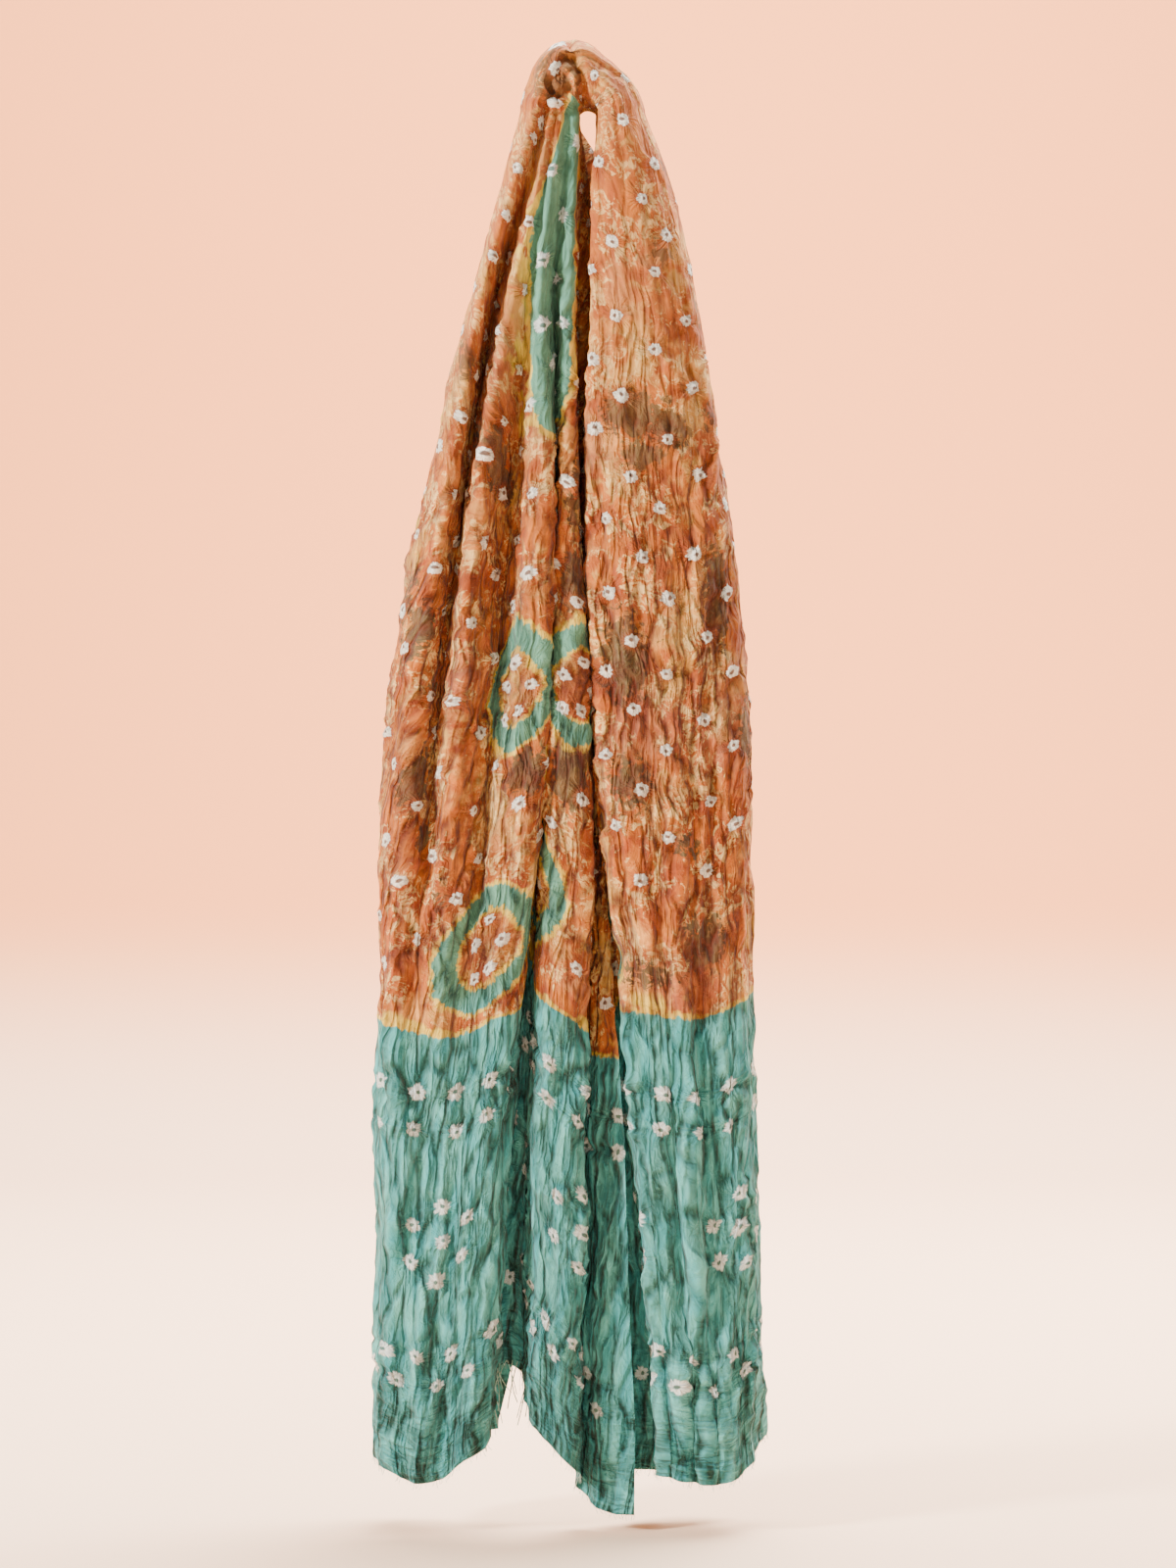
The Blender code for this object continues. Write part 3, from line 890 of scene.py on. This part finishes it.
# Relief of the same creases, the knots' gathers and the plain weave, in metres
gathers = cloudy(petal_place, 5.0, 2.0, 0.5) - 0.5
gather_fade = spot_length.between(0.3, 0.9) * (1 - spot_length.between(1.3, 5.0))
THREAD_PITCH = 0.45 * MM
weft = (map_along * (math.tau / THREAD_PITCH)).maths("SINE")
warp = (map_parts * (math.tau / THREAD_PITCH)).maths("SINE")
relief = (
    (facet * 0.0030 + long_crease * 0.0028 + small_crease * 0.0005) * looseness
    + side_crease * hem_wrinkles * 0.0016
    + (ring_strokes - 0.5) * near_ring * 0.0022
    + gathers * gather_fade * 0.0042
    + warp * weft * 0.000012
)
bump = Wire.node("ShaderNodeBump", {}, {"Height": relief, "Strength": 1.0, "Distance": 1.0})
Wire.plug(shader.inputs["Normal"], bump)
cloth_mesh.materials.append(cotton)
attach(cloth, "root")
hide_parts("bandhani_cloth")


# The raw hems. Both ends of the cloth are cut and not sewn, so short warp threads stand out of
# them all along, and a few long loose ones hang where the deep fold lifts the left hem.
THREAD_COLOUR = dye(140, 176, 158)
PALE_THREAD = dye(196, 214, 200)


def hem_path(name, row, first=0, last=len(LEFT_FOLDS) - 1):
    """A curve object along one hem, between two fold numbers, for the fringe to grow from."""
    points = cloth_points[(place_line >= first) & (place_line <= last), row]
    curve = bpy.data.curves.new(name, "CURVE")
    curve.dimensions = "3D"
    line = curve.splines.new("POLY")
    line.points.add(len(points) - 1)
    for spot, place in zip(line.points, points):
        spot.co = (*place, 1)
    path = bpy.data.objects.new(name, curve)
    bpy.context.collection.objects.link(path)
    return path


def fringe_tree(material):
    """Geometry Nodes that set thin bent threads along a path, each turned and sized at random."""
    tree = bpy.data.node_groups.new("hem_fringe", "GeometryNodeTree")
    tree.is_modifier = True
    tree.interface.new_socket("Path", in_out="INPUT", socket_type="NodeSocketGeometry")
    for name, kind, value in (
        ("Spacing", "NodeSocketFloat", 2.2 * MM),
        ("Shortest", "NodeSocketFloat", 1.5 * MM),
        ("Longest", "NodeSocketFloat", 6.0 * MM),
        ("Thread Radius", "NodeSocketFloat", 0.22 * MM),
        ("Seed", "NodeSocketInt", 5),
    ):
        socket = tree.interface.new_socket(name, in_out="INPUT", socket_type=kind)
        socket.default_value = value
    tree.interface.new_socket("Threads", in_out="OUTPUT", socket_type="NodeSocketGeometry")
    nodes = tree.nodes
    link = tree.links.new
    given = nodes.new("NodeGroupInput").outputs
    result = nodes.new("NodeGroupOutput").inputs

    spaced = nodes.new("GeometryNodeCurveToPoints")
    spaced.mode = "LENGTH"
    link(given["Path"], spaced.inputs["Curve"])
    link(given["Spacing"], spaced.inputs["Length"])

    bend = nodes.new("GeometryNodeCurveQuadraticBezier")
    bend.inputs["Resolution"].default_value = 4
    bend.inputs["Start"].default_value = (0, 0, 0.15)
    bend.inputs["Middle"].default_value = (0.12, 0.05, -0.5)
    bend.inputs["End"].default_value = (-0.10, 0.12, -1)
    profile = nodes.new("GeometryNodeCurvePrimitiveCircle")
    profile.inputs["Resolution"].default_value = 3
    thickness = nodes.new("ShaderNodeMath")
    thickness.operation = "DIVIDE"
    link(given["Thread Radius"], thickness.inputs[0])
    link(given["Longest"], thickness.inputs[1])
    link(thickness.outputs[0], profile.inputs["Radius"])
    thread = nodes.new("GeometryNodeCurveToMesh")
    thread.inputs["Fill Caps"].default_value = True
    link(bend.outputs["Curve"], thread.inputs["Curve"])
    link(profile.outputs["Curve"], thread.inputs["Profile Curve"])

    turn = nodes.new("FunctionNodeRandomValue")
    turn.data_type = "FLOAT_VECTOR"
    turn.inputs["Min"].default_value = (-0.5, -0.5, 0)
    turn.inputs["Max"].default_value = (0.5, 0.5, math.tau)
    link(given["Seed"], turn.inputs["Seed"])
    size = nodes.new("FunctionNodeRandomValue")
    size.data_type = "FLOAT"
    link(given["Shortest"], size.inputs[2])
    link(given["Longest"], size.inputs[3])
    link(given["Seed"], size.inputs["Seed"])
    place = nodes.new("GeometryNodeInstanceOnPoints")
    link(spaced.outputs["Points"], place.inputs["Points"])
    link(thread.outputs["Mesh"], place.inputs["Instance"])
    link(turn.outputs[0], place.inputs["Rotation"])
    link(size.outputs[1], place.inputs["Scale"])
    real = nodes.new("GeometryNodeRealizeInstances")
    link(place.outputs["Instances"], real.inputs["Geometry"])
    finish = nodes.new("GeometryNodeSetMaterial")
    finish.inputs["Material"].default_value = material
    link(real.outputs["Geometry"], finish.inputs["Geometry"])
    link(finish.outputs["Geometry"], result["Threads"])
    return tree


thread_cotton, shader = new_material("hem_thread_cotton")
object_place = Wire.node("ShaderNodeTexCoord", output=3)
thread_tone = cloudy(object_place, 300.0, 2.0).between(0.35, 0.65)
Wire.plug(shader.inputs["Base Color"], mixed(thread_tone, THREAD_COLOUR, PALE_THREAD))
Wire.plug(shader.inputs["Roughness"], 0.85 + thread_tone * 0.1)

grow = fringe_tree(thread_cotton)
sockets = {item.name: item.identifier for item in grow.interface.items_tree}


def grown_threads(name, path, **sizes):
    """The fringe along a path as a plain mesh object; the path is removed."""
    fringe = path.modifiers.new("fringe", "NODES")
    fringe.node_group = grow
    for key, value in sizes.items():
        fringe[sockets[key.replace("_", " ")]] = value
    view = bpy.context.evaluated_depsgraph_get()
    mesh = bpy.data.meshes.new_from_object(path.evaluated_get(view), depsgraph=view)
    bpy.data.objects.remove(path, do_unlink=True)
    made = bpy.data.objects.new(name, mesh)
    bpy.context.collection.objects.link(made)
    return made


fringes = []
for side, row, seed in (("left", 0, 5), ("right", rows - 1, 8)):
    made = grown_threads(f"{side}_hem_fringe", hem_path(f"{side}_hem_path", row), Seed=seed)
    fringes.append(made)
loose_path = hem_path("loose_thread_path", 0, 4.6, 6.6)
long_threads = {"Spacing": 3 * MM, "Shortest": 10 * MM, "Longest": 34 * MM}
long_threads["Thread_Radius"] = 0.5 * MM
fringes.append(grown_threads("loose_hem_threads", loose_path, Seed=3, **long_threads))
for piece in fringes:
    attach(piece, "root")


# The room: a plain pale sweep behind and below, soft light from the upper left, and the camera
# level with the cloth's middle.
FLOOR_DROP = 14 * MM
SWEEP_BEHIND = 4.4
SWEEP_RADIUS = 1.6
SWEEP_HALF_WIDTH = 7.0
SWEEP_FRONT = 7.0
SWEEP_TOP = 5.0
SWEEP_STEPS = 24
PALE_FLOOR = dye(255, 222, 190)
PEACH_WALL = dye(238, 156, 100)
TINT_FROM = -1.17
TINT_TO = -0.75
floor_height = cad_box[0][2] - FLOOR_DROP
profile = [(-SWEEP_FRONT, floor_height)]
for step in range(SWEEP_STEPS + 1):
    angle = math.pi / 2 * step / SWEEP_STEPS
    away = SWEEP_BEHIND - SWEEP_RADIUS + SWEEP_RADIUS * math.sin(angle)
    profile.append((away, floor_height + SWEEP_RADIUS * (1 - math.cos(angle))))
profile.append((SWEEP_BEHIND, SWEEP_TOP))
sweep_points = [(x, y, z) for y, z in profile for x in (-SWEEP_HALF_WIDTH, SWEEP_HALF_WIDTH)]
sweep_faces = [(2 * i, 2 * i + 1, 2 * i + 3, 2 * i + 2) for i in range(len(profile) - 1)]
sweep_mesh = bpy.data.meshes.new("pale_sweep")
sweep_mesh.from_pydata(sweep_points, [], sweep_faces)
for face in sweep_mesh.polygons:
    face.use_smooth = True
sweep = bpy.data.objects.new("pale_sweep", sweep_mesh)
bpy.context.collection.objects.link(sweep)
sweep_paint, shader = new_material("pale_paint")
height = Wire.node("ShaderNodeSeparateXYZ", {}, {0: Wire.node("ShaderNodeTexCoord", output=3)}, 2)
Wire.plug(shader.inputs["Base Color"], mixed(height.between(TINT_FROM, TINT_TO), PALE_FLOOR, PEACH_WALL))
shader.inputs["Roughness"].default_value = 0.9
sweep_mesh.materials.append(sweep_paint)

# Places and sizes in metres, power in watts
Lamp = namedtuple("Lamp", "name place aim size power colour")
CLOTH_MIDDLE = (0, 0, -0.55)
LAMPS = (
    Lamp("key", (-2.65, -1.6, 0.8), CLOTH_MIDDLE, 0.6, 244, (1.0, 0.97, 0.93)),
    Lamp("fill", (1.4, -3.4, 0.4), CLOTH_MIDDLE, 2.6, 9, (0.93, 0.97, 1.0)),
    Lamp("top", (-0.3, -0.5, 2.4), CLOTH_MIDDLE, 1.4, 14, (1.0, 0.98, 0.95)),
    Lamp("backdrop", (0, 1.2, 2.4), (0, 4.4, -0.2), 2.6, 430, (1.0, 0.93, 0.86)),
    Lamp("floor", (0.9, 1.1, 1.8), (0.3, 1.7, -1.2), 2.0, 340, (1.0, 0.95, 0.90)),
)
for lamp in LAMPS:
    light = bpy.data.lights.new(lamp.name, "AREA")
    light.size = lamp.size
    light.energy = lamp.power
    light.color = lamp.colour
    holder = bpy.data.objects.new(lamp.name, light)
    holder.location = lamp.place
    way = Vector(lamp.aim) - Vector(lamp.place)
    holder.rotation_euler = way.to_track_quat("-Z", "Y").to_euler()
    # A lamp lights the cloth but doesn't show, whatever side the cloth is seen from
    holder.visible_camera = False
    bpy.context.collection.objects.link(holder)

world = bpy.data.worlds.new("pale_room")
world.use_nodes = True
world.node_tree.nodes["Background"].inputs["Color"].default_value = (1.0, 0.95, 0.90, 1.0)
world.node_tree.nodes["Background"].inputs["Strength"].default_value = 0.24
bpy.context.scene.world = world

CAMERA_DISTANCE = 3.2
VIEW_HEIGHT = 1.28
VIEW_MIDDLE = -0.5516
SENSOR = 36.0
camera_data = bpy.data.cameras.new("camera")
camera_data.sensor_fit = "VERTICAL"
camera_data.sensor_height = SENSOR
camera_data.lens = SENSOR * CAMERA_DISTANCE / VIEW_HEIGHT
camera = bpy.data.objects.new("camera", camera_data)
camera.location = (0, -CAMERA_DISTANCE, VIEW_MIDDLE)
camera.rotation_euler = (math.pi / 2, 0, 0)
bpy.context.collection.objects.link(camera)
bpy.context.scene.camera = camera
